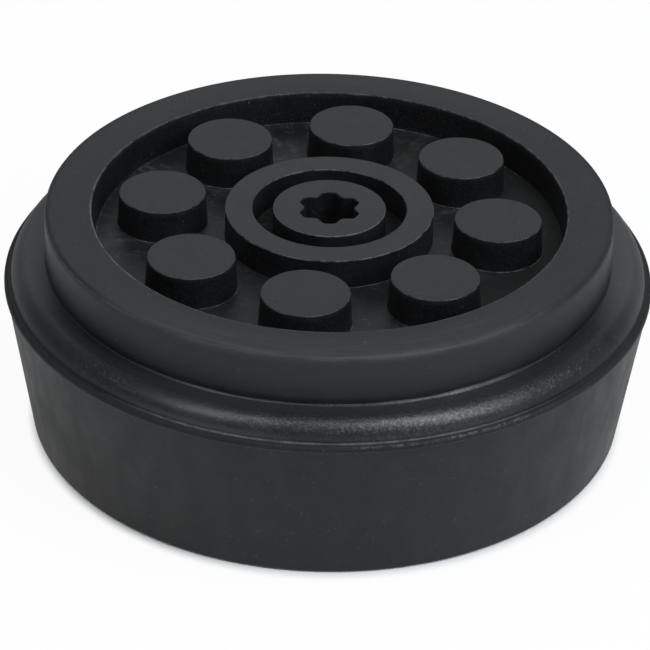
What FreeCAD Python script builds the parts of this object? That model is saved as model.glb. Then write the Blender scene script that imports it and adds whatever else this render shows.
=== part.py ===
import FreeCAD, Part
import math
import os
import Sketcher

# Rubber jack pad, moulded in one piece. Millimetres and degrees, +Z up, base face on z = 0,
# axis on Z. The studs stand at the top, between a ring and a collar round a centre boss.

SIZES = [
    ("pad_height", 43.0, "base face to the top of the ring and studs"),
    ("ring_diameter", 104.6, "outside of the upright ring"),
    ("ring_height", 9.7, "ring above the shoulder"),
    ("ring_wall", 8.6, "ring thickness at its top"),
    ("shoulder_width", 6.1, "ring wall to the end of the shoulder's round"),
    ("shoulder_round", 3.7, "quarter round from the shoulder down to the ledge"),
    ("ledge_width", 1.6, "flat ledge from that round to the face of the band"),
    ("band_height", 1.2, "face of the band on the parting line"),
    ("band_proud", 0.3, "how far the band stands out of the side wall"),
    ("side_draft", 8.8, "lean of the side wall, narrower at the base"),
    ("base_chamfer", 0.5, "edge of the base face"),
    ("recess_depth", 6.2, "ring top to the floor between the studs"),
    ("recess_draft", 5.5, "lean of the ring's inner wall"),
    ("collar_wall", 5.0, "thickness of the collar"),
    ("well_width", 3.8, "gap between the collar and the boss"),
    ("boss_diameter", 20.8, "centre boss"),
    ("centre_drop", 0.4, "collar and boss below the ring top"),
    ("stud_count", 8, "studs round the axis"),
    ("stud_clearance", 3.6, "floor between a stud's foot and the collar or the ring"),
    ("stud_draft", 3.6, "lean of the stud's side"),
    ("edge_chamfer", 0.3, "top edges of the ring, studs, collar and boss"),
    ("socket_lobes", 6, "lobes of the star socket in the boss"),
    ("socket_tip_diameter", 11.4, "across the flat tips of the lobes"),
    ("socket_tip_width", 2.0, "width of a lobe's flat tip"),
    ("socket_crest_diameter", 9.0, "across the ribs between the lobes"),
    ("socket_crest_round", 0.8, "nose of a rib"),
    ("socket_depth", 15.0, "socket below the boss top"),
]

# Places that follow from the sizes: radii from the axis and heights above the base face
RING_RADIUS = "(sizes.ring_diameter / 2)"
ROUND_END_RADIUS = f"({RING_RADIUS} + sizes.shoulder_width)"
ROUND_START_RADIUS = f"({ROUND_END_RADIUS} - sizes.shoulder_round)"
BAND_RADIUS = f"({ROUND_END_RADIUS} + sizes.ledge_width)"
SIDE_RADIUS = f"({BAND_RADIUS} - sizes.band_proud)"
TOP_Z = "sizes.pad_height"
SHOULDER_Z = f"({TOP_Z} - sizes.ring_height)"
LEDGE_Z = f"({SHOULDER_Z} - sizes.shoulder_round)"
BAND_FOOT_Z = f"({LEDGE_Z} - sizes.band_height)"
BASE_RADIUS = f"({SIDE_RADIUS} - tan(sizes.side_draft * 1 deg) * {BAND_FOOT_Z})"
FLOOR_Z = f"({TOP_Z} - sizes.recess_depth)"
CENTRE_Z = f"({TOP_Z} - sizes.centre_drop)"
BOSS_RADIUS = "(sizes.boss_diameter / 2)"
WELL_RADIUS = f"({BOSS_RADIUS} + sizes.well_width)"
COLLAR_RADIUS = f"({WELL_RADIUS} + sizes.collar_wall)"
MOUTH_RADIUS = f"({RING_RADIUS} - sizes.ring_wall)"
RECESS_RADIUS = f"({MOUTH_RADIUS} - tan(sizes.recess_draft * 1 deg) * sizes.recess_depth)"
STUD_AXIS_X = f"(({COLLAR_RADIUS} + {RECESS_RADIUS}) / 2)"
STUD_FOOT_RADIUS = f"(({RECESS_RADIUS} - {COLLAR_RADIUS}) / 2 - sizes.stud_clearance)"
STUD_RADIUS = f"({STUD_FOOT_RADIUS} - tan(sizes.stud_draft * 1 deg) * sizes.recess_depth)"

# Lean in radians that a lobe's flank is drawn with, before its constraints place it
FLANK_LEAN = 0.3

SAME_PLACE = 0.001


def make_sheet(doc):
    """The driving sizes, one named cell each."""
    sheet = doc.addObject("Spreadsheet::Sheet", "sizes")
    for row, (alias, value, meaning) in enumerate(SIZES, start=1):
        sheet.set(f"A{row}", alias)
        sheet.set(f"B{row}", str(value))
        sheet.set(f"C{row}", meaning)
        sheet.setAlias(f"B{row}", alias)
    doc.recompute()


def number(obj, expression):
    """What an expression of the sheet comes to, as a plain number."""
    value = obj.evalExpression(expression)
    return float(getattr(value, "Value", value))


def origin_part(body, role):
    """A plane or axis of the body's own origin."""
    return next(part for part in body.Origin.OriginFeatures if part.Role == role)


def new_sketch(body, name, role):
    sketch = body.newObject("Sketcher::SketchObject", name)
    sketch.AttachmentSupport = [(origin_part(body, role), "")]
    sketch.MapMode = "FlatFace"
    return sketch


def bind(sketch, constraint, expression):
    """Add a constraint whose value follows the sheet."""
    index = sketch.addConstraint(constraint)
    sketch.setExpression(f"Constraints[{index}]", expression)


def draw_outline(sketch, corners, round_side=None):
    """Closed outline through corners, each two expressions: distance across and up.

    The side that leaves corner number round_side is a convex quarter round.
    """
    points = []
    for across, up in corners:
        points.append(FreeCAD.Vector(number(sketch, across), number(sketch, up), 0))
    for side, start in enumerate(points):
        end = points[(side + 1) % len(points)]
        if side == round_side:
            centre = FreeCAD.Vector(end.x, start.y, 0)
            circle = Part.Circle(centre, FreeCAD.Vector(0, 0, 1), start.x - end.x)
            sketch.addGeometry(Part.ArcOfCircle(circle, 0, math.pi / 2), False)
        else:
            sketch.addGeometry(Part.LineSegment(start, end), False)
    for side, (across, up) in enumerate(corners):
        side_before = (side - 1) % len(corners)
        sketch.addConstraint(Sketcher.Constraint("Coincident", side_before, 2, side, 1))
        bind(sketch, Sketcher.Constraint("DistanceX", -1, 1, side, 1, points[side].x), across)
        bind(sketch, Sketcher.Constraint("DistanceY", -1, 1, side, 1, points[side].y), up)
    if round_side is not None:
        sketch.addConstraint(Sketcher.Constraint("Vertical", round_side, 3, round_side, 2))


def turn(body, kind, name, sketch, axis):
    """Revolution or Groove of a sketch, a full turn about an axis."""
    feature = body.newObject(kind, name)
    feature.Profile = sketch
    feature.ReferenceAxis = axis
    feature.Angle = 360
    return feature


def repeat_round_axis(body, name, original, count):
    """The same feature repeated round the pad's axis."""
    pattern = body.newObject("PartDesign::PolarPattern", name)
    pattern.Originals = [original]
    pattern.Axis = (origin_part(body, "Z_Axis"), [""])
    pattern.Angle = 360
    pattern.setExpression("Occurrences", count)
    body.Tip = pattern


def make_blank(body):
    """Outer form: drafted side wall, parting band and ledge, round shoulder, plain top."""
    sketch = new_sketch(body, "blank_profile", "XZ_Plane")
    corners = [
        ("0", "0"),
        (BASE_RADIUS, "0"),
        (SIDE_RADIUS, BAND_FOOT_Z),
        (BAND_RADIUS, BAND_FOOT_Z),
        (BAND_RADIUS, LEDGE_Z),
        (ROUND_END_RADIUS, LEDGE_Z),
        (ROUND_START_RADIUS, SHOULDER_Z),
        (RING_RADIUS, SHOULDER_Z),
        (RING_RADIUS, TOP_Z),
        ("0", TOP_Z),
    ]
    draw_outline(sketch, corners, round_side=corners.index((ROUND_END_RADIUS, LEDGE_Z)))
    turn(body, "PartDesign::Revolution", "blank", sketch, (origin_part(body, "Z_Axis"), [""]))


def make_recess(body):
    """Hollow of the top: channel for the studs, well round the boss, lowered centre."""
    sketch = new_sketch(body, "recess_profile", "XZ_Plane")
    draw_outline(sketch, [
        ("0", CENTRE_Z),
        (BOSS_RADIUS, CENTRE_Z),
        (BOSS_RADIUS, FLOOR_Z),
        (WELL_RADIUS, FLOOR_Z),
        (WELL_RADIUS, CENTRE_Z),
        (COLLAR_RADIUS, CENTRE_Z),
        (COLLAR_RADIUS, FLOOR_Z),
        (RECESS_RADIUS, FLOOR_Z),
        (MOUTH_RADIUS, TOP_Z),
        ("0", TOP_Z),
    ])
    turn(body, "PartDesign::Groove", "recess", sketch, (origin_part(body, "Z_Axis"), [""]))


def make_studs(body):
    """Drafted round studs in the middle of the channel, with gaps on the X and Y axes."""
    sketch = new_sketch(body, "stud_profile", "XZ_Plane")
    upright = FreeCAD.Vector(0, 1, 0)
    sketch.AttachmentOffset = FreeCAD.Placement(FreeCAD.Vector(), FreeCAD.Rotation(upright, 1))
    sketch.setExpression("AttachmentOffset.Rotation.Angle", "180 deg / sizes.stud_count")
    draw_outline(sketch, [
        (STUD_AXIS_X, FLOOR_Z),
        (f"{STUD_AXIS_X} + {STUD_FOOT_RADIUS}", FLOOR_Z),
        (f"{STUD_AXIS_X} + {STUD_RADIUS}", TOP_Z),
        (STUD_AXIS_X, TOP_Z),
    ])
    foot = FreeCAD.Vector(number(sketch, STUD_AXIS_X), 0, 0)
    axis = sketch.addGeometry(Part.LineSegment(foot, foot + upright), True)
    sketch.addConstraint(Sketcher.Constraint("Vertical", axis))
    sketch.addConstraint(Sketcher.Constraint("PointOnObject", 0, 1, axis))
    stud = turn(body, "PartDesign::Revolution", "stud", sketch, (sketch, ["Axis0"]))
    repeat_round_axis(body, "studs", stud, "sizes.stud_count")


def make_socket(body):
    """Blind star socket: one lobe with half a rib on each side, repeated round the axis."""
    sketch = new_sketch(body, "lobe_outline", "XY_Plane")
    sketch.setExpression("AttachmentOffset.Base.z", CENTRE_Z)
    half_lobe = math.pi / number(sketch, "sizes.socket_lobes")
    crest = number(sketch, "sizes.socket_crest_diameter / 2")
    nose = number(sketch, "sizes.socket_crest_round")
    tip = number(sketch, "sizes.socket_tip_diameter / 2")
    half_tip = number(sketch, "sizes.socket_tip_width / 2")
    centre = FreeCAD.Vector(0, 0, 0)
    upward = FreeCAD.Vector(0, 0, 1)
    low_ray = FreeCAD.Vector(math.cos(half_lobe), -math.sin(half_lobe), 0)
    high_ray = FreeCAD.Vector(math.cos(half_lobe), math.sin(half_lobe), 0)
    low_nose = Part.Circle(low_ray * (crest + nose), upward, nose)
    high_nose = Part.Circle(high_ray * (crest + nose), upward, nose)
    flank_turn = math.pi / 2 - FLANK_LEAN
    low_arc = Part.ArcOfCircle(low_nose, flank_turn, math.pi - half_lobe)
    high_arc = Part.ArcOfCircle(high_nose, math.pi + half_lobe, 2 * math.pi - flank_turn)
    low_tip = FreeCAD.Vector(tip, -half_tip, 0)
    high_tip = FreeCAD.Vector(tip, half_tip, 0)
    low_side, low_rib, low_flank, tip_flat, high_flank, high_rib, high_side = sketch.addGeometry([
        Part.LineSegment(centre, low_ray * crest),
        low_arc,
        Part.LineSegment(low_nose.value(flank_turn), low_tip),
        Part.LineSegment(low_tip, high_tip),
        Part.LineSegment(high_tip, high_nose.value(-flank_turn)),
        high_arc,
        Part.LineSegment(high_ray * crest, centre),
    ], False)
    sketch.addConstraint([
        Sketcher.Constraint("Coincident", low_side, 1, -1, 1),
        Sketcher.Constraint("Coincident", high_side, 2, -1, 1),
        Sketcher.Constraint("Coincident", low_side, 2, low_rib, 2),
        Sketcher.Constraint("Tangent", low_rib, 1, low_flank, 1),
        Sketcher.Constraint("Coincident", low_flank, 2, tip_flat, 1),
        Sketcher.Constraint("Coincident", tip_flat, 2, high_flank, 1),
        Sketcher.Constraint("Tangent", high_flank, 2, high_rib, 2),
        Sketcher.Constraint("Coincident", high_rib, 1, high_side, 1),
        Sketcher.Constraint("Symmetric", low_side, 2, high_side, 1, -1),
        Sketcher.Constraint("Symmetric", tip_flat, 1, tip_flat, 2, -1),
        Sketcher.Constraint("PointOnObject", low_rib, 3, low_side),
        Sketcher.Constraint("PointOnObject", high_rib, 3, high_side),
        Sketcher.Constraint("Equal", low_rib, high_rib),
    ])
    bind(sketch, Sketcher.Constraint("Angle", low_side, -half_lobe), "-180 deg / sizes.socket_lobes")
    bind(sketch, Sketcher.Constraint("Distance", low_side, crest), "sizes.socket_crest_diameter / 2")
    bind(sketch, Sketcher.Constraint("Radius", low_rib, nose), "sizes.socket_crest_round")
    bind(sketch, Sketcher.Constraint("DistanceX", -1, 1, tip_flat, 1, tip), "sizes.socket_tip_diameter / 2")
    bind(sketch, Sketcher.Constraint("DistanceY", tip_flat, 1, tip_flat, 2, 2 * half_tip),
         "sizes.socket_tip_width")
    lobe = body.newObject("PartDesign::Pocket", "lobe")
    lobe.Profile = sketch
    lobe.setExpression("Length", "sizes.socket_depth")
    repeat_round_axis(body, "socket", lobe, "sizes.socket_lobes")


def circles(body, radius, height, from_axis="0"):
    """Names of the body's circular edges with this radius, height and distance from the axis."""
    wanted = [number(body, expression) for expression in (radius, height, from_axis)]
    names = []
    for index, edge in enumerate(body.Tip.Shape.Edges, start=1):
        if not isinstance(edge.Curve, Part.Circle):
            continue
        centre = edge.Curve.Center
        found = [edge.Curve.Radius, centre.z, math.hypot(centre.x, centre.y)]
        if max(abs(a - b) for a, b in zip(found, wanted)) < SAME_PLACE:
            names.append(f"Edge{index}")
    return names


def chamfer(body, name, size, edges):
    """Chamfer edges of the body as it stands."""
    base = body.Tip
    feature = body.newObject("PartDesign::Chamfer", name)
    feature.Base = (base, edges)
    feature.setExpression("Size", size)
    body.Tip = feature
    body.Document.recompute()


def break_edges(body):
    """Small chamfers on the top edges and round the base face."""
    body.Document.recompute()
    top_edges = circles(body, STUD_RADIUS, TOP_Z, STUD_AXIS_X)
    for radius, height in (
        (RING_RADIUS, TOP_Z),
        (MOUTH_RADIUS, TOP_Z),
        (COLLAR_RADIUS, CENTRE_Z),
        (WELL_RADIUS, CENTRE_Z),
        (BOSS_RADIUS, CENTRE_Z),
    ):
        top_edges += circles(body, radius, height)
    chamfer(body, "top_edges", "sizes.edge_chamfer", top_edges)
    chamfer(body, "base_edge", "sizes.base_chamfer", circles(body, BASE_RADIUS, "0"))


def check_document(doc):
    for obj in doc.Objects:
        if "Invalid" in obj.State or "Error" in obj.State:
            raise RuntimeError(f"{obj.Name} failed: {obj.State}")
    for sketch in doc.findObjects("Sketcher::SketchObject"):
        if sketch.solve() != 0:
            raise RuntimeError(f"{sketch.Name} has constraints that do not agree")


def check_cuts(doc):
    """Each cut takes material away and each pattern adds or takes more than its original."""
    volume = {}
    for name in ("blank", "recess", "stud", "studs", "lobe", "socket"):
        volume[name] = doc.getObject(name).Shape.Volume
    if not volume["blank"] > volume["recess"] < volume["stud"] < volume["studs"]:
        raise RuntimeError("the recess or the studs changed nothing")
    if not volume["studs"] > volume["lobe"] > volume["socket"]:
        raise RuntimeError("the socket cut nothing")


def export(body):
    shape = body.Shape
    if shape.isNull() or not shape.isValid() or len(shape.Solids) != 1:
        raise RuntimeError(f"{body.Label} is not one valid solid")
    os.makedirs("parts", exist_ok=True)
    shape.exportStep(f"parts/{body.Label}.step")
    box = shape.optimalBoundingBox()
    print(f"{body.Label}: {box.XLength:.2f} x {box.YLength:.2f} x {box.ZLength:.2f} mm")


def main():
    doc = FreeCAD.newDocument("jack_pad")
    make_sheet(doc)
    body = doc.addObject("PartDesign::Body", "pad")
    body.Label = "jack_pad"
    doc.recompute()
    make_blank(body)
    make_recess(body)
    make_studs(body)
    make_socket(body)
    break_edges(body)
    doc.recompute()
    check_document(doc)
    check_cuts(doc)
    export(body)


main()
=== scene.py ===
import math

import bmesh
import bpy
from mathutils import Matrix, Vector


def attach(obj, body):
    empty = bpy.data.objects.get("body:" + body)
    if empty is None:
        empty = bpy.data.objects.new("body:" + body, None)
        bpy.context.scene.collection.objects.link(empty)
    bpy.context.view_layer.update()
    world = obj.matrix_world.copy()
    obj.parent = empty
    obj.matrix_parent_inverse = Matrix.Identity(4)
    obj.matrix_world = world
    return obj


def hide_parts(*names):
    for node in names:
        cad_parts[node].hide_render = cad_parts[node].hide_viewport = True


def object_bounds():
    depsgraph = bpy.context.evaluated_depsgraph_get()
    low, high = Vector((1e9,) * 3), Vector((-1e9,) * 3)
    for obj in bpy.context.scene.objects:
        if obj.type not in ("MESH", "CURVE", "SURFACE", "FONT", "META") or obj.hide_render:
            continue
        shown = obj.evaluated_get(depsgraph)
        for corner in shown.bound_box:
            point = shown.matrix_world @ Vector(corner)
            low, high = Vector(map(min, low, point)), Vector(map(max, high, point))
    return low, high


# Rubber jack pad, moulded in one piece. The moulding is drawn in millimetres on the CAD's axes
# and brought to metres at the end.

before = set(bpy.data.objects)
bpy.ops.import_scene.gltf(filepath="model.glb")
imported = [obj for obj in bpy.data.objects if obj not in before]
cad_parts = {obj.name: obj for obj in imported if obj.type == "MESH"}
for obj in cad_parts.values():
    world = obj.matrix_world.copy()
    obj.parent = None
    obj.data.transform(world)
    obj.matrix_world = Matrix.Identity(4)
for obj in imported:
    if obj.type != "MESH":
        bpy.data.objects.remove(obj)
CAD_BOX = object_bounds()
MM = 0.001

# Driving sizes in millimetres. The frame gives the overall height and radius.
TOP = round(CAD_BOX[1][2] / MM, 1)
BAND_RADIUS = round(CAD_BOX[1][0] / MM, 1)
BAND_HEIGHT = 1.2
BAND_PROUD = 0.3
BASE_RADIUS = 55.3
SHOULDER_WIDTH = 6.4
SHOULDER_DROP = 3.7
RING_RADIUS = 52.3
RING_HEIGHT = 9.7
RING_WALL = 8.6
RECESS_RADIUS = 43.1
RECESS_DEPTH = 6.2
CENTRE_DROP = 0.4
BOSS_RADIUS = 10.4
WELL_WIDTH = 3.8
COLLAR_WALL = 5.0
STUD_COUNT = 8
STUD_CLEARANCE = 3.6
STUD_TAPER = 0.39
LOBES = 6
RIB_RADIUS = 4.35
TIP_RADIUS = 5.7
TIP_HALF_WIDTH = 1.0
SOCKET_DEPTH = 15.0
SEAM_SIZE = 1.0

# Heights and radii that follow from them.
SHOULDER = TOP - RING_HEIGHT
LEDGE = SHOULDER - SHOULDER_DROP
BAND_FOOT = LEDGE - BAND_HEIGHT
RECESS_FLOOR = TOP - RECESS_DEPTH
CENTRE_TOP = TOP - CENTRE_DROP
SIDE_RADIUS = BAND_RADIUS - BAND_PROUD
ROUND_END_RADIUS = RING_RADIUS + SHOULDER_WIDTH
MOUTH_RADIUS = RING_RADIUS - RING_WALL
WELL_RADIUS = BOSS_RADIUS + WELL_WIDTH
COLLAR_RADIUS = WELL_RADIUS + COLLAR_WALL
STUD_CIRCLE = (RECESS_RADIUS + COLLAR_RADIUS) / 2
STUD_FOOT_RADIUS = (RECESS_RADIUS - COLLAR_RADIUS) / 2 - STUD_CLEARANCE
STUD_RADIUS = STUD_FOOT_RADIUS - STUD_TAPER

# Rounds of the edges and corners.
BASE_ROUND = 0.5
BAND_ROUND = 0.15
BAND_CORNER = 0.08
LEDGE_ROUND = 0.8
LEDGE_CORNER = 0.3
SHOULDER_ROUND = 3.65
SEAM_ROUND = 0.6
RING_ROUND = 0.9
EDGE_ROUND = 0.2
RECESS_CORNER = 0.1
FOOT_CORNER = 0.15
WELL_CORNER = 0.4
RIM_ROUND = 0.3
RIB_ROUND = 0.6
TIP_ROUND = 0.42

# Flat strips that belong to the recess, the collar and the studs, where the floor joins them.
RECESS_STRIP = 1.4
COLLAR_STRIP = 1.0
STUD_STRIP = 0.9

# The seam at the ring's foot: thinnest share of its size, swells as share, side and spread in
# degrees, and ripples as share and number of waves.
SEAM_THINNEST = 0.07
SEAM_SWELLS = ((0.21, -22, 30), (0.35, 27, 20))
SEAM_RIPPLES = ((0.18, 11), (0.12, 29))

# Steps of turned and rounded forms, and the angle in degrees above which an edge stays sharp.
TURN_STEPS = 256
STUD_STEPS = 72
WIDE_ROUND_STEPS = 12
SMALL_ROUND_STEPS = 4
RIM_STEPS = 3
RIB_STEPS = 6
TIP_STEPS = 5
SHARP_ANGLE = 38

# Distances in millimetres below which drawn points count as the same.
SAME_CORNER = 0.01
SAME_HEIGHT = 0.001
SAME_POINT = 0.0005

# Direction of the front on the CAD's axes, in degrees. Sides are counted from it, to the right.
FRONT_ANGLE = -60.35
PEBBLED_SIDE = 19.8
SMALL_PEBBLED_SIDE = -42
LEDGE_FLASH_SIDE = 22
RIM_FLASH_SIDE = -70
SHADED_SIDE = 100

# Colours of light and paper, then of the rubber and the layers over it, several of them painted
# light and shade.
WHITE = (1, 1, 1)
COOL_WHITE = (0.967, 1.0, 1.033)
PAPER = (0.70, 0.70, 0.70)
DARK_SKIN_AND_SHADE = (0.0045, 0.0047, 0.0052)
PALE_SKIN = (0.0120, 0.0125, 0.0135)
HOLLOW_SHADE = (0.0025, 0.0026, 0.0028)
WELL_SHADE = (0.0008, 0.0008, 0.0009)
SHADED_SKIN = (0.0012, 0.0012, 0.0013)
PAINTED_LIGHT = (0.0190, 0.0198, 0.0210)
WEAR_AND_LIGHT_SKIN = (0.030, 0.033, 0.037)
PAINTED_EDGE_HIGHLIGHT = (0.070, 0.073, 0.078)
PAINTED_GLINT = (0.080, 0.083, 0.092)
PAINTED_SHEEN = (0.100, 0.095, 0.090)
GRAIN = (0.024, 0.025, 0.027)
DUST_AND_LIGHT = (0.050, 0.049, 0.048)
FLASH_AND_HIGHLIGHT = (0.17, 0.175, 0.18)
SPECK = (0.16, 0.16, 0.165)
RUBBER_IOR = 1.42
SKIN_DULLNESS = 0.45
COAT_DULLNESS = 0.36

# Camera, lamps and floor: places in metres, turns in degrees, the lens in millimetres.
CAMERA_PLACE = (0.28076, -0.49391, 0.37131)
CAMERA_TURN = (58.0521, -1.0640, 30.3136)
CAMERA_LENS = 197.62
LAMP_AIM = (0, 0, 0.03)
STUDIO_LIGHT = 0.2
FLOOR_SIZE = 3.0
FLOOR_DROP = 0.0001
FLOOR_GLOW = 0.94
MIRRORED_GLOW = 0.3
SHADOW_SHIFT = (0.0007, -0.0012, 0)
SHADOW_START = (BASE_RADIUS - 1.6) * MM
SHADOW_END = (BASE_RADIUS + 1.4) * MM


def round_corners(bm, verts, offset, steps):
    """Round flat corners of a wire."""
    return bmesh.ops.bevel(bm, geom=verts, offset=offset, offset_type="OFFSET", segments=steps,
                           profile=0.5, affect="VERTICES", material=-1)


def profile_line(bm, corners):
    """Wire through (radius, height, rounding) corners on the XZ plane, each corner rounded."""
    verts = [bm.verts.new((radius, 0, height)) for radius, height, _ in corners]
    for pair in zip(verts, verts[1:]):
        bm.edges.new(pair)
    line = []
    for vert, (_, _, rounding) in zip(verts, corners):
        if rounding:
            steps = WIDE_ROUND_STEPS if rounding > 1 else SMALL_ROUND_STEPS
            line += round_corners(bm, [vert], rounding, steps)["verts"]
        else:
            line.append(vert)
    return line


def turn(bm, corners, steps):
    """Surface of revolution of a profile about Z."""
    verts = profile_line(bm, corners)
    edges = dict.fromkeys(edge for vert in verts for edge in vert.link_edges)
    bmesh.ops.spin(bm, geom=verts + list(edges), cent=(0, 0, 0), axis=(0, 0, 1), dvec=(0, 0, 0),
                   angle=2 * math.pi, steps=steps, use_merge=True)


def open_edges(bm, height):
    """Open edges that lie at this height."""
    return [edge for edge in bm.edges if edge.is_boundary
            and all(abs(vert.co.z - height) < SAME_HEIGHT for vert in edge.verts)]


def add_block(bm):
    """Outer form from the middle of the base to the floor inside the ring."""
    turn(bm, [
        (0, 0, 0),
        (BASE_RADIUS, 0, BASE_ROUND),
        (SIDE_RADIUS, BAND_FOOT, BAND_CORNER),
        (BAND_RADIUS, BAND_FOOT, BAND_ROUND),
        (BAND_RADIUS, LEDGE, LEDGE_ROUND),
        (ROUND_END_RADIUS, LEDGE, LEDGE_CORNER),
        (ROUND_END_RADIUS, SHOULDER, SHOULDER_ROUND),
        (RING_RADIUS + SEAM_SIZE, SHOULDER, 0),
        (RING_RADIUS, SHOULDER + SEAM_SIZE, SEAM_ROUND),
        (RING_RADIUS, TOP, RING_ROUND),
        (MOUTH_RADIUS, TOP, EDGE_ROUND),
        (RECESS_RADIUS, RECESS_FLOOR, RECESS_CORNER),
        (RECESS_RADIUS - RECESS_STRIP, RECESS_FLOOR, 0),
    ], TURN_STEPS)


def seam_share(angle):
    """Share of its full size that the seam has at an angle."""
    side = (math.degrees(angle) - FRONT_ANGLE + 180) % 360 - 180
    share = SEAM_THINNEST
    for rise, middle, spread in SEAM_SWELLS:
        share += rise * math.exp(-((side - middle) / spread) ** 2)
    return share * (1 + sum(depth * math.sin(waves * angle) for depth, waves in SEAM_RIPPLES))


def size_seam(bm):
    """Draw the seam at the ring's foot in: thin, but wider on both sides of the front's middle."""
    upper_end = SEAM_SIZE + SEAM_ROUND + 0.1
    for vert in bm.verts:
        out = vert.co.xy.length - RING_RADIUS
        up = vert.co.z - SHOULDER
        if -SAME_CORNER < out < SEAM_SIZE + SAME_CORNER and -SAME_CORNER < up < upper_end:
            share = seam_share(math.atan2(vert.co.y, vert.co.x))
            vert.co.xy = vert.co.xy * (RING_RADIUS + out * share) / (RING_RADIUS + out)
            vert.co.z = SHOULDER + up * share


def add_centre(bm):
    """Collar, well and boss, up to the edge of the boss's face."""
    turn(bm, [
        (COLLAR_RADIUS + COLLAR_STRIP, RECESS_FLOOR, 0),
        (COLLAR_RADIUS, RECESS_FLOOR, FOOT_CORNER),
        (COLLAR_RADIUS, CENTRE_TOP, EDGE_ROUND),
        (WELL_RADIUS, CENTRE_TOP, EDGE_ROUND),
        (WELL_RADIUS, RECESS_FLOOR, WELL_CORNER),
        (BOSS_RADIUS, RECESS_FLOOR, WELL_CORNER),
        (BOSS_RADIUS, CENTRE_TOP - RIM_ROUND, 0),
    ], TURN_STEPS)


def add_studs(bm):
    """Drafted studs on their circle, with gaps between them on the X and Y axes."""
    for number in range(STUD_COUNT):
        before = set(bm.verts)
        turn(bm, [
            (0, TOP, 0),
            (STUD_RADIUS, TOP, EDGE_ROUND),
            (STUD_FOOT_RADIUS, RECESS_FLOOR, FOOT_CORNER),
            (STUD_FOOT_RADIUS + STUD_STRIP, RECESS_FLOOR, 0),
        ], STUD_STEPS)
        stud = [vert for vert in bm.verts if vert not in before]
        angle = 2 * math.pi * (number + 0.5) / STUD_COUNT
        place = Matrix.Rotation(angle, 4, "Z") @ Matrix.Translation((STUD_CIRCLE, 0, 0))
        bmesh.ops.transform(bm, matrix=place, verts=stud)


def fill_flat(bm, edges):
    """Flat faces between closed rows of edges."""
    filled = bmesh.ops.triangle_fill(bm, edges=edges, use_beauty=True, use_dissolve=False,
                                     normal=(0, 0, 1))
    return [piece for piece in filled["geom"] if isinstance(piece, bmesh.types.BMFace)]


def draw_star(bm, height):
    """Outline of the star socket: one lobe from rib to rib, repeated, with its corners rounded."""
    half = math.pi / LOBES
    rib_x, rib_y = RIB_RADIUS * math.cos(half), RIB_RADIUS * math.sin(half)
    corners = [
        (rib_x, -rib_y),
        (TIP_RADIUS, -TIP_HALF_WIDTH),
        (TIP_RADIUS, TIP_HALF_WIDTH),
        (rib_x, rib_y),
    ]
    lobe = [bm.verts.new((x, y, height)) for x, y in corners]
    sides = [bm.edges.new(pair) for pair in zip(lobe, lobe[1:])]
    bmesh.ops.spin(bm, geom=lobe + sides, cent=(0, 0, 0), axis=(0, 0, 1), dvec=(0, 0, 0),
                   angle=2 * math.pi, steps=LOBES, use_merge=False, use_duplicate=True)
    drawn = [vert for vert in bm.verts if not vert.link_faces]
    bmesh.ops.remove_doubles(bm, verts=drawn, dist=SAME_CORNER)
    star = [vert for vert in bm.verts if not vert.link_faces]
    between = (RIB_RADIUS + TIP_RADIUS) / 2
    ribs = [vert for vert in star if vert.co.xy.length < between]
    tips = [vert for vert in star if vert.co.xy.length > between]
    round_corners(bm, ribs, RIB_ROUND, RIB_STEPS)
    round_corners(bm, tips, TIP_ROUND, TIP_STEPS)
    return [edge for edge in bm.edges if not edge.link_faces]


def add_socket(bm):
    """Face of the boss round the star socket, and the socket sunk from it."""
    height = CENTRE_TOP - RIM_ROUND
    outline = draw_star(bm, height)
    face = fill_flat(bm, outline + [edge for edge in open_edges(bm, height) if edge not in outline])
    wall = bmesh.ops.extrude_edge_only(bm, edges=outline)
    deep = [piece for piece in wall["geom"] if isinstance(piece, bmesh.types.BMVert)]
    bmesh.ops.translate(bm, vec=(0, 0, -SOCKET_DEPTH), verts=deep)
    bottom = [piece for piece in wall["geom"] if isinstance(piece, bmesh.types.BMEdge)]
    bmesh.ops.edgeloop_fill(bm, edges=bottom)
    round_rims(bm, face)


def round_rims(bm, faces):
    """Lift a flat face in steps, so that all its rims become quarter rounds."""
    turns = [math.pi / 2 * step / RIM_STEPS for step in range(RIM_STEPS + 1)]
    for start, end in zip(turns, turns[1:]):
        across = math.cos(start) - math.cos(end)
        up = math.sin(end) - math.sin(start)
        bmesh.ops.inset_region(bm, faces=faces, thickness=across * RIM_ROUND, depth=up * RIM_ROUND,
                               use_even_offset=True, use_boundary=True)


def add_object(name, data):
    """New object in the scene."""
    added = bpy.data.objects.new(name, data)
    bpy.context.scene.collection.objects.link(added)
    return added


def make_pad():
    """The whole moulding as one closed mesh, smooth apart from its sharp edges."""
    bm = bmesh.new()
    add_block(bm)
    size_seam(bm)
    add_centre(bm)
    add_studs(bm)
    bmesh.ops.remove_doubles(bm, verts=bm.verts, dist=SAME_POINT)
    fill_flat(bm, open_edges(bm, RECESS_FLOOR))
    bmesh.ops.recalc_face_normals(bm, faces=bm.faces)
    add_socket(bm)
    bmesh.ops.remove_doubles(bm, verts=bm.verts, dist=SAME_POINT)
    bmesh.ops.recalc_face_normals(bm, faces=bm.faces)
    bmesh.ops.scale(bm, vec=(MM, MM, MM), verts=bm.verts)
    for face in bm.faces:
        face.smooth = True
    mesh = bpy.data.meshes.new("moulded_pad")
    bm.to_mesh(mesh)
    bm.free()
    mesh.set_sharp_from_angle(angle=math.radians(SHARP_ANGLE))
    pad = add_object("moulded_pad", mesh)
    even = pad.modifiers.new("even_shading", "WEIGHTED_NORMAL")
    even.keep_sharp = True
    return pad


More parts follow.
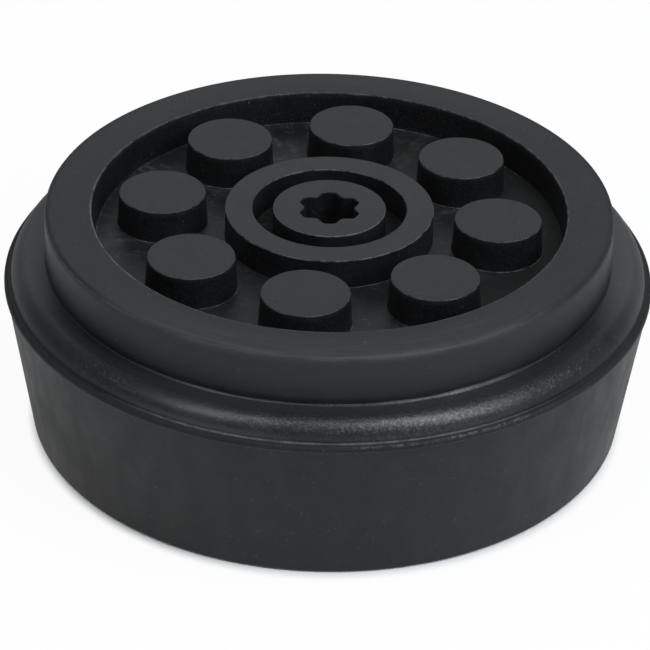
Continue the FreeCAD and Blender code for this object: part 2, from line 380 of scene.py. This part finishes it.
class Value:
    """A number or colour in a node tree, so that shader maths reads as arithmetic."""

    def __init__(self, tree, socket):
        self.tree = tree
        self.socket = socket

    def math(self, operation, *others):
        """A maths node on this value and then the others."""
        return self.tree.node("ShaderNodeMath", {"operation": operation}, (self, *others))

    def __add__(self, other):
        return self.math("ADD", other)

    def __sub__(self, other):
        return self.math("SUBTRACT", other)

    def __rsub__(self, other):
        return self.tree.node("ShaderNodeMath", {"operation": "SUBTRACT"}, (other, self))

    def __mul__(self, other):
        return self.math("MULTIPLY", other)

    def __truediv__(self, other):
        return self.math("DIVIDE", other)

    __radd__ = __add__
    __rmul__ = __mul__

    def ease(self, start, end):
        """0 at start, 1 at end, smooth between."""
        return self.tree.node("ShaderNodeMapRange", {"interpolation_type": "SMOOTHSTEP"},
                              {"Value": self, "From Min": start, "From Max": end})

    def near(self, target, half_width):
        """1 where this value is target, fading to 0 at half_width from it."""
        return (self - target).math("ABSOLUTE").ease(half_width, 0)


class Tree:
    """The nodes of a material or world."""

    # Places of the colour sockets on a Mix node.
    COLOUR_A, COLOUR_B, COLOUR_OUT = 6, 7, 2

    def __init__(self, owner):
        owner.use_nodes = True
        self.nodes = owner.node_tree.nodes
        self.links = owner.node_tree.links
        self.nodes.clear()

    def node(self, kind, settings=None, values=(), output=0):
        """A node, its settings made first, with values or links by socket name or in order."""
        made = self.nodes.new(kind)
        for name, setting in (settings or {}).items():
            setattr(made, name, setting)
        pairs = values.items() if isinstance(values, dict) else enumerate(values)
        for name, value in pairs:
            if isinstance(value, Value):
                self.links.new(value.socket, made.inputs[name])
            else:
                made.inputs[name].default_value = value
        return Value(self, made.outputs[output]) if made.outputs else None

    def noise(self, place, scale, detail, roughness):
        return self.node("ShaderNodeTexNoise", {}, {
            "Vector": place, "Scale": scale, "Detail": detail, "Roughness": roughness})

    def mix(self, amount, low, high):
        """One colour over another. A plain colour is given as three numbers."""
        low, high = (side if isinstance(side, Value) else (*side, 1) for side in (low, high))
        return self.node("ShaderNodeMix", {"data_type": "RGBA"}, {
            "Factor": amount, self.COLOUR_A: low, self.COLOUR_B: high}, output=self.COLOUR_OUT)

    def vector(self, x, y, z):
        return self.node("ShaderNodeCombineXYZ", {}, (x, y, z))

    def vector_math(self, operation, *values, output="Vector"):
        return self.node("ShaderNodeVectorMath", {"operation": operation}, values, output)


class Spot:
    """Where a shaded point lies in millimetres, and which side of the pad it is on."""

    def __init__(self, tree):
        place = tree.node("ShaderNodeTexCoord", output="Object")
        self.place = tree.node("ShaderNodeVectorMath", {"operation": "SCALE"},
                               {"Vector": place, "Scale": 1 / MM})
        x, y, self.z = (tree.node("ShaderNodeSeparateXYZ", {}, (self.place,), output=axis)
                        for axis in "XYZ")
        self.radius = tree.vector_math("LENGTH", tree.vector(x, y, 0), output="Value")
        self.east, self.north = x / self.radius, y / self.radius
        self.from_stud = self.distance_from_stud(y.math("ARCTAN2", x))
        self.forward = self.facing(0)
        across = self.forward.math("ABSOLUTE")
        self.fore_and_aft = across.ease(0.5, 0.9)
        self.sideways = across.ease(0.5, 0.15)
        self.front = self.forward.ease(0.55, 0.95)
        self.foremost = self.forward.ease(0.72, 0.96)
        self.leftward = self.facing(RIM_FLASH_SIDE).ease(0.75, 0.97)
        self.rightward = self.facing(LEDGE_FLASH_SIDE).ease(0.94, 0.985)

    def facing(self, side):
        """1 on a side of the pad, 0 a quarter turn from it, -1 opposite."""
        angle = math.radians(FRONT_ANGLE + side)
        return self.east * math.cos(angle) + self.north * math.sin(angle)

    def distance_from_stud(self, angle):
        """Distance from the axis of the nearest stud."""
        spacing = 2 * math.pi / STUD_COUNT
        from_middle = ((angle / spacing).math("FRACT") - 0.5) * spacing
        across = self.radius * from_middle.math("COSINE") * (2 * STUD_CIRCLE)
        return (self.radius * self.radius + STUD_CIRCLE ** 2 - across).math("SQRT")


class Faces:
    """Masks from 0 to 1 for the faces of the pad. Their borders fade over the distances given."""

    def __init__(self, spot):
        radius, z = spot.radius, spot.z
        inside = radius.ease(MOUTH_RADIUS + 0.2, MOUTH_RADIUS - 0.2)
        out_of_ring = radius.ease(RING_RADIUS, RING_RADIUS + 0.2)
        under_ring = z.ease(SHOULDER + 1, SHOULDER + 0.8)
        above_floor = z.ease(RECESS_FLOOR + 0.1, RECESS_FLOOR + 0.6)
        below_tops = z.ease(CENTRE_TOP - 0.3, CENTRE_TOP - 0.8)
        self.wall = z.ease(BAND_FOOT, BAND_FOOT - 0.4)
        self.shelf = radius.ease(ROUND_END_RADIUS, ROUND_END_RADIUS + 0.1) * z.near(LEDGE, 0.8)
        self.brink = radius.ease(ROUND_END_RADIUS + 0.3, BAND_RADIUS - 0.6) * z.near(LEDGE, 1.2)
        self.shoulder = out_of_ring * under_ring * z.ease(LEDGE, LEDGE + 0.6)
        self.groove = radius.ease(RING_RADIUS + 5, RING_RADIUS + 1.5) * z.near(SHOULDER, 0.5)
        self.ring_side = radius.near(RING_RADIUS, 0.3) * z.ease(SHOULDER + 0.5, SHOULDER + 2)
        self.ring = radius.ease(MOUTH_RADIUS, MOUTH_RADIUS + 5) * z.ease(TOP - 0.8, TOP - 0.1)
        self.tops = inside * z.ease(CENTRE_TOP - 0.15, CENTRE_TOP - 0.05)
        self.recess_floor = inside * z.ease(RECESS_FLOOR + 0.4, RECESS_FLOOR + 0.05)
        in_shade = spot.facing(SHADED_SIDE).ease(0.15, 0.75) * radius.ease(22, 36)
        self.shaded = self.recess_floor * in_shade
        self.centre = radius.ease(COLLAR_RADIUS + 2, COLLAR_RADIUS)
        self.well = (radius.ease(WELL_RADIUS + 0.1, WELL_RADIUS)
                     * z.ease(RECESS_FLOOR + 1, RECESS_FLOOR + 0.5))
        # Painted shade on the recess's inner walls, fading out towards the centre.
        self.hollow_shade = inside * below_tops * above_floor * (0.8 - self.centre * 0.8)


class Lines:
    """Masks from 0 to 1 for the edges, rims and seams of the pad."""

    def __init__(self, spot):
        radius, z = spot.radius, spot.z
        self.lip = radius.near(BAND_RADIUS, 0.3) * z.near(BAND_FOOT, 0.25)
        self.ledge = radius.near(BAND_RADIUS - 0.3, 0.45) * z.near(LEDGE - 0.2, 0.4)
        self.foot = radius.near(ROUND_END_RADIUS + 0.15, 0.45) * z.near(LEDGE + 0.1, 0.4)
        self.seam = (radius.ease(RING_RADIUS + 0.03, RING_RADIUS + 0.15)
                     * radius.ease(RING_RADIUS + 1.2, RING_RADIUS + 1)
                     * z.ease(SHOULDER + 0.03, SHOULDER + 0.15))
        self.ring_edge = (radius.ease(RING_RADIUS - 1.4, RING_RADIUS - 0.6)
                          * z.ease(TOP - 1.6, TOP - 0.6))
        self.rim_highlight = (radius.ease(RING_RADIUS - 2.2, RING_RADIUS - 0.4)
                       * z.ease(TOP - 0.7, TOP - 0.3))
        self.outline = radius.near(RING_RADIUS - 0.1, 0.3) * z.near(TOP - 0.4, 0.4)
        self.mouth = radius.near(MOUTH_RADIUS + 0.1, 0.4) * z.ease(TOP - 0.5, TOP - 0.2)
        self.recess_corner = radius.near(RECESS_RADIUS - 0.2, 0.2)
        self.stud_feet = spot.from_stud.near(STUD_FOOT_RADIUS + 0.1, 0.13)
        self.stud_rims = spot.from_stud.near(STUD_RADIUS, 0.13) * z.ease(TOP - 0.3, TOP - 0.1)
        self.collar_foot = radius.near(COLLAR_RADIUS + 0.1, 0.13)
        boss = radius.near(BOSS_RADIUS - 0.05, 0.16)
        collar = radius.near(COLLAR_RADIUS, 0.16) + radius.near(WELL_RADIUS, 0.14)
        self.rims = (collar + boss) * z.ease(CENTRE_TOP - 0.4, CENTRE_TOP - 0.1)
        self.boss_rim = boss * self.rims


class Texture:
    """Noise in several sizes, streaks that run round the pad, smears down its wall, and specks."""

    def __init__(self, tree, spot):
        self.patchy = tree.noise(spot.place, scale=0.3, detail=4, roughness=0.65)
        self.mottle = tree.noise(spot.place, scale=0.13, detail=5, roughness=0.7)
        self.grain = tree.noise(spot.place, scale=3.6, detail=3, roughness=0.6)
        self.peel = tree.noise(spot.place, scale=1.9, detail=2, roughness=0.6)
        broken = tree.noise(spot.place, scale=0.45, detail=4, roughness=0.7)
        self.broken = broken.ease(0.4, 0.6)
        specks = tree.noise(spot.place, scale=1.4, detail=2, roughness=0.6)
        self.specks = specks.ease(0.67, 0.73) * self.patchy.ease(0.45, 0.58)
        round_pad = tree.vector(spot.east * 5, spot.north * 5, spot.radius * 1.3)
        self.streaks = tree.noise(round_pad, scale=1.0, detail=3, roughness=0.6)
        down_wall = tree.vector(spot.east * 14, spot.north * 14, spot.z * 0.1)
        self.smears = tree.noise(down_wall, scale=1.0, detail=3, roughness=0.6)


def find_pebbled(spot, faces, texture):
    """Pebbled parts of the shoulder: a large one at the front right, a small one at the left."""
    large = (spot.facing(PEBBLED_SIDE) + (texture.patchy - 0.5) * 0.6).ease(0.68, 0.95)
    small = spot.facing(SMALL_PEBBLED_SIDE).ease(0.985, 0.998)
    return faces.shoulder * (large + small * 0.6)


def find_flash_and_highlights(spot, faces, lines, texture):
    """Thin light lines, broken: flash left by the mould on rims, feet, lip and seam, and painted
    highlights on the seam and the shoulder's foot at the front, the ledge at the right and the
    ring's rims at the left.
    """
    feet = (lines.stud_feet + lines.collar_foot + lines.recess_corner) * faces.recess_floor
    flash = lines.lip * 0.7 + lines.rims * 1.7 + lines.stud_rims * 0.9 + lines.mouth * 0.5
    flash = flash + feet * texture.mottle.ease(0.5, 0.6)
    # Painted highlights: the ledge on the right, the seam and the shoulder's foot at the front, and
    # the ring's rims at the left.
    flash = flash + spot.rightward * lines.ledge * texture.peel.ease(0.38, 0.6)
    flash = (flash + spot.front * lines.seam * 0.1) * texture.broken
    flash = flash + spot.foremost * lines.foot * (texture.broken * 0.6 + 0.5)
    left_rims = lines.outline * 0.6 + lines.mouth * 0.8
    flash = flash + spot.leftward * left_rims * (texture.broken * 0.7 + 0.3)
    return (flash + lines.boss_rim * 0.6).math("MINIMUM", 1)


def find_painted_light(spot, faces, lines):
    """Paler skin: painted light on the front of the wall, the groove, the ring fore and aft and its
    rim at the front, and paler tops.
    """
    lifted = faces.wall * spot.front * 0.25 + faces.tops * (faces.centre * 0.45 + 0.5)
    lifted = lifted + faces.groove * (spot.front * 0.5 + 0.5)
    lifted = lifted + faces.ring * spot.fore_and_aft * 0.5 + spot.front * lines.rim_highlight
    return lifted.math("MINIMUM", 1)


def find_wear_and_light(spot, faces, lines, texture):
    """Paler grey skin: streaks of wear on the ring, brighter at the front as painted light, and
    painted light on the ring's side and edge and on the shoulder and groove at both sides.
    """
    wear_and_light = faces.ring * faces.ring * texture.streaks.ease(0.45, 0.65) * (0.2 + spot.front * 0.6)
    wear_and_light = wear_and_light + faces.ring_side * (0.25 + spot.front * 0.5)
    wear_and_light = wear_and_light + lines.ring_edge * (0.2 + spot.front * 0.4)
    wear_and_light = wear_and_light + (faces.groove * 0.6 + faces.shoulder * 0.8) * spot.sideways
    return wear_and_light.math("MINIMUM", 1)


def colour_skin(tree, spot, faces, lines, texture, pebbled):
    """Mottled black skin, with one layer after another over it: the rubber's own marks, and painted
    light, shade, highlights and glint.
    """
    # Painted highlight on the ring's edge at the front, broken by streaks.
    edge_highlight = spot.front * (texture.streaks.ease(0.4, 0.6) * 0.35 + 0.12)
    # Painted glint where the pebbled shoulder and the seam catch the light.
    painted_glints = pebbled * texture.peel.ease(0.54, 0.7) * spot.z.near(SHOULDER - 1.2, 1.4)
    painted_glints = painted_glints + lines.seam * texture.peel.ease(0.5, 0.65) * 0.5
    dust = faces.recess_floor * (texture.patchy * 0.6 + texture.smears * 0.4).ease(0.48, 0.66)
    layers = [
        # Painted shade in the recess: on its inner walls and, lightly, on its floor.
        (faces.hollow_shade + faces.recess_floor * 0.2, HOLLOW_SHADE),
        # Painted shade on the floor of the well round the boss.
        (faces.well, WELL_SHADE),
        # Painted light over the front of the wall, the groove and the ring.
        (find_painted_light(spot, faces, lines), PAINTED_LIGHT),
        # Wear streaks on the ring, with painted light on the ring, the groove and the shoulder's
        # sides.
        (find_wear_and_light(spot, faces, lines, texture) * 0.8, WEAR_AND_LIGHT_SKIN),
        # Painted highlight on the ring's edge at the front.
        (lines.ring_edge * edge_highlight, PAINTED_EDGE_HIGHLIGHT),
        # Painted glint on the shoulder and the seam.
        (painted_glints * 0.9, PAINTED_GLINT),
        # Painted sheen on the shoulder at both sides.
        (faces.shoulder * spot.sideways * 0.38, PAINTED_SHEEN),
        # Painted shade on the ledge's brink, lightest at the front.
        (faces.brink * (0.45 - spot.foremost * 0.38), DARK_SKIN_AND_SHADE),
        (texture.grain.ease(0.42, 0.66) * 0.5, GRAIN),
        # Dust on the recess floor, stronger towards the back and weaker at the front as painted
        # light and shade.
        (dust * (0.66 - spot.forward * 0.45), DUST_AND_LIGHT),
        (faces.shaded * 0.85, SHADED_SKIN),
        # Mould flash, and painted highlights on some edges.
        (find_flash_and_highlights(spot, faces, lines, texture) * 0.5, FLASH_AND_HIGHLIGHT),
        (texture.specks * 0.35, SPECK),
    ]
    skin = tree.mix(texture.mottle.ease(0.35, 0.68), DARK_SKIN_AND_SHADE, PALE_SKIN)
    for amount, colour in layers:
        skin = tree.mix(amount, skin, colour)
    return skin


def find_dullness(spot, faces, lines, texture):
    """Roughness: the shoulder shines most at the front, and edges and hollows are duller."""
    rounding = spot.z.ease(SHOULDER - 0.3, SHOULDER - 1.5)
    dullness = SKIN_DULLNESS + lines.ring_edge * 0.15 + faces.shelf * 0.1 + faces.brink * 0.2
    dullness = dullness + faces.well * 0.3 + faces.shaded * 0.25
    dullness = dullness + faces.shoulder * (0.1 * rounding - spot.front * 0.12)
    dullness = dullness + (texture.mottle - 0.5) * 0.2 + (texture.streaks - 0.5) * 0.12
    return dullness + (texture.smears - 0.5) * faces.wall * 0.3


def find_relief(faces, lines, texture, pebbled):
    """Height of the skin in millimetres: fine grain, and orange peel where it is pebbled."""
    peel = pebbled * 0.12 + faces.shoulder * 0.02 + lines.seam * 0.1
    fine = texture.grain * 0.030 + texture.streaks * 0.015 + texture.patchy * 0.03
    return fine + texture.peel * peel


def make_rubber():
    """Black moulded rubber: dull skin, wear and painted light on the ring, dust on the floor, light
    mould flash and painted highlights on the edges, painted shade in the recess.
    """
    material = bpy.data.materials.new("black_rubber")
    tree = Tree(material)
    spot = Spot(tree)
    faces = Faces(spot)
    lines = Lines(spot)
    texture = Texture(tree, spot)
    pebbled = find_pebbled(spot, faces, texture)
    gloss = 0.75 + pebbled * (texture.peel * 2.4 - 1.3)
    gloss = gloss * (1 - spot.forward.ease(0.98, 1.0) * 0.55)
    bump = tree.node("ShaderNodeBump", {}, {
        "Strength": 1.0,
        "Distance": MM,
        "Height": find_relief(faces, lines, texture, pebbled),
    })
    shader = tree.node("ShaderNodeBsdfPrincipled", {}, {
        "Base Color": colour_skin(tree, spot, faces, lines, texture, pebbled),
        "Roughness": find_dullness(spot, faces, lines, texture),
        "IOR": RUBBER_IOR,
        "Coat Weight": faces.shoulder * spot.foremost * gloss,
        "Coat Roughness": COAT_DULLNESS,
        "Normal": bump,
    })
    tree.node("ShaderNodeOutputMaterial", {}, (shader,))
    return material


def make_paper():
    """Pale paper, white to the camera apart from the pad's narrow contact shadow."""
    material = bpy.data.materials.new("pale_floor")
    tree = Tree(material)
    camera_ray, glossy_ray = (tree.node("ShaderNodeLightPath", output=name)
                              for name in ("Is Camera Ray", "Is Glossy Ray"))
    place = tree.node("ShaderNodeTexCoord", output="Object")
    place = tree.vector_math("SUBTRACT", place, SHADOW_SHIFT)
    reach = tree.vector_math("LENGTH", place, output="Value")
    clear = reach.ease(SHADOW_START, SHADOW_END)
    lit = tree.node("ShaderNodeBsdfDiffuse", {}, {"Color": tree.mix(camera_ray, PAPER, WHITE)})
    white = tree.node("ShaderNodeEmission", {}, {"Color": (*WHITE, 1), "Strength": 1.0})
    glow = camera_ray * clear * FLOOR_GLOW + glossy_ray * MIRRORED_GLOW
    seen = tree.node("ShaderNodeMixShader", {}, (glow, lit, white))
    tree.node("ShaderNodeOutputMaterial", {}, (seen,))
    return material


def make_floor():
    bm = bmesh.new()
    bmesh.ops.create_grid(bm, x_segments=1, y_segments=1, size=FLOOR_SIZE)
    bmesh.ops.translate(bm, vec=(0, 0, -FLOOR_DROP), verts=bm.verts)
    mesh = bpy.data.meshes.new("floor")
    bm.to_mesh(mesh)
    bm.free()
    mesh.materials.append(make_paper())
    add_object("floor", mesh)


def make_world():
    """Even grey light from all round, white where the camera sees past the floor."""
    world = bpy.data.worlds.new("studio")
    bpy.context.scene.world = world
    tree = Tree(world)
    light = tree.node("ShaderNodeBackground", {}, {
        "Color": (*COOL_WHITE, 1), "Strength": STUDIO_LIGHT})
    white = tree.node("ShaderNodeBackground", {}, {"Color": (*WHITE, 1), "Strength": 1.0})
    camera_ray = tree.node("ShaderNodeLightPath", output="Is Camera Ray")
    seen = tree.node("ShaderNodeMixShader", {}, (camera_ray, light, white))
    tree.node("ShaderNodeOutputWorld", {}, {"Surface": seen})


def add_softbox(name, place, width, height, power):
    """Soft lamp that lights the pad and isn't seen itself."""
    lamp = bpy.data.lights.new(name, "AREA")
    lamp.shape = "RECTANGLE"
    lamp.size = width
    lamp.size_y = height
    lamp.energy = power
    lamp.color = COOL_WHITE
    box = add_object(name, lamp)
    box.location = place
    box.rotation_euler = (Vector(LAMP_AIM) - Vector(place)).to_track_quat("-Z", "Y").to_euler()
    box.visible_camera = False


def add_camera():
    lens = bpy.data.cameras.new("camera")
    lens.sensor_width = 36
    lens.lens = CAMERA_LENS
    lens.clip_start = 0.01
    camera = add_object("camera", lens)
    camera.location = CAMERA_PLACE
    camera.rotation_euler = [math.radians(angle) for angle in CAMERA_TURN]
    bpy.context.scene.camera = camera


pad = make_pad()
pad.data.materials.append(make_rubber())
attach(pad, "root")
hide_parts("jack_pad")

make_floor()
make_world()
add_softbox("right_softbox", (0.589, -0.027, 0.775), width=0.42, height=1.0, power=6.8)
add_softbox("left_softbox", (-0.159, -0.462, 0.845), width=0.32, height=0.7, power=2.05)
add_softbox("back_panel", (-0.543, 0.956, 0.75), width=1.4, height=0.9, power=1.95)
add_camera()
bpy.context.scene.view_settings.view_transform = "Standard"
